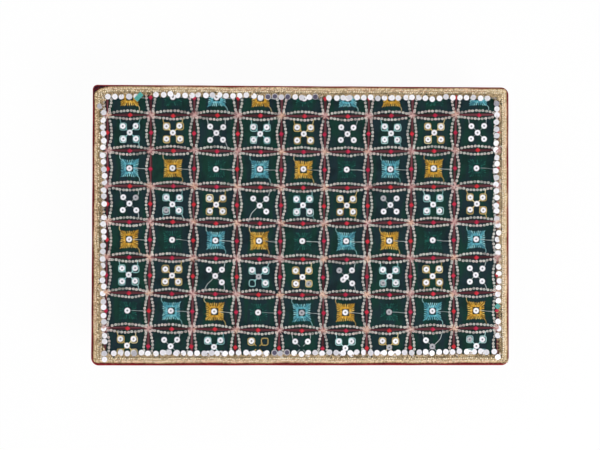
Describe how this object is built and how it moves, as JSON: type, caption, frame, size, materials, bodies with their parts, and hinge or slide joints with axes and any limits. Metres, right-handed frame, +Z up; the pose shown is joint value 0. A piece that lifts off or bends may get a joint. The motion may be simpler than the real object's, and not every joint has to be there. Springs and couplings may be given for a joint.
{
  "type": "chowki",
  "caption": "Low rectangular chowki: velvet-wrapped wooden platform on turned legs, topped with a sequin-embroidered cloth edged with gold lace.",
  "frame": {"origin": "on the floor, under the centre of the platform", "axes": "+X along the long side to the right, +Y to the back, +Z up"},
  "size_m": [0.4602, 0.3078, 0.1073],
  "materials": {
    "board_wood": "raw plywood",
    "frame_wood": "planed softwood",
    "leg_wood": "turned and stained, satin varnish",
    "pad_felt": "pressed felt",
    "zinc_steel": "zinc plated",
    "screw_steel": "yellow zinc plated",
    "foam": "open-cell foam",
    "red_velvet": "short-pile velvet",
    "green_cloth": "plain-weave dark green cloth with a slight sheen",
    "gold_lace": "metallic gold braid",
    "pearl_disc": "pearl-white discs",
    "silver_bead": "cupped beige-silver bead sequins",
    "maroon_thread": "stitched thread",
    "red_lozenge": "satin stitch",
    "pink_thread": "stitched thread",
    "teal_thread": "satin stitch",
    "gold_thread": "satin stitch",
    "green_thread": "satin stitch",
    "white_sequin": "white sequins"
  },
  "bodies": {
    "root": {"top_board": "board_wood", "front_rail": "frame_wood", "back_rail": "frame_wood", "left_rail": "frame_wood", "right_rail": "frame_wood", "corner_block_front_left": "frame_wood", "corner_block_front_right": "frame_wood", "corner_block_back_left": "frame_wood", "corner_block_back_right": "frame_wood", "leg_front_left": "leg_wood", "leg_front_right": "leg_wood", "leg_back_left": "leg_wood", "leg_back_right": "leg_wood", "foot_pads": "pad_felt", "hanger_bolts": "zinc_steel", "tee_nuts": "zinc_steel", "board_screws": "screw_steel", "frame_nails": "zinc_steel", "velvet_staples": "zinc_steel", "foam_sheet": "foam", "velvet_cover": "red_velvet", "embroidered_cloth": "green_cloth", "gold_lace": "gold_lace", "lace_discs": "pearl_disc", "bead_strings": "silver_bead", "lens_cores": "maroon_thread", "red_lozenges": "red_lozenge", "lattice_stars": "pink_thread", "teal_squares": "teal_thread", "gold_squares": "gold_thread", "green_squares": "green_thread", "cell_sequins": "white_sequin"}
  },
  "joints": []
}
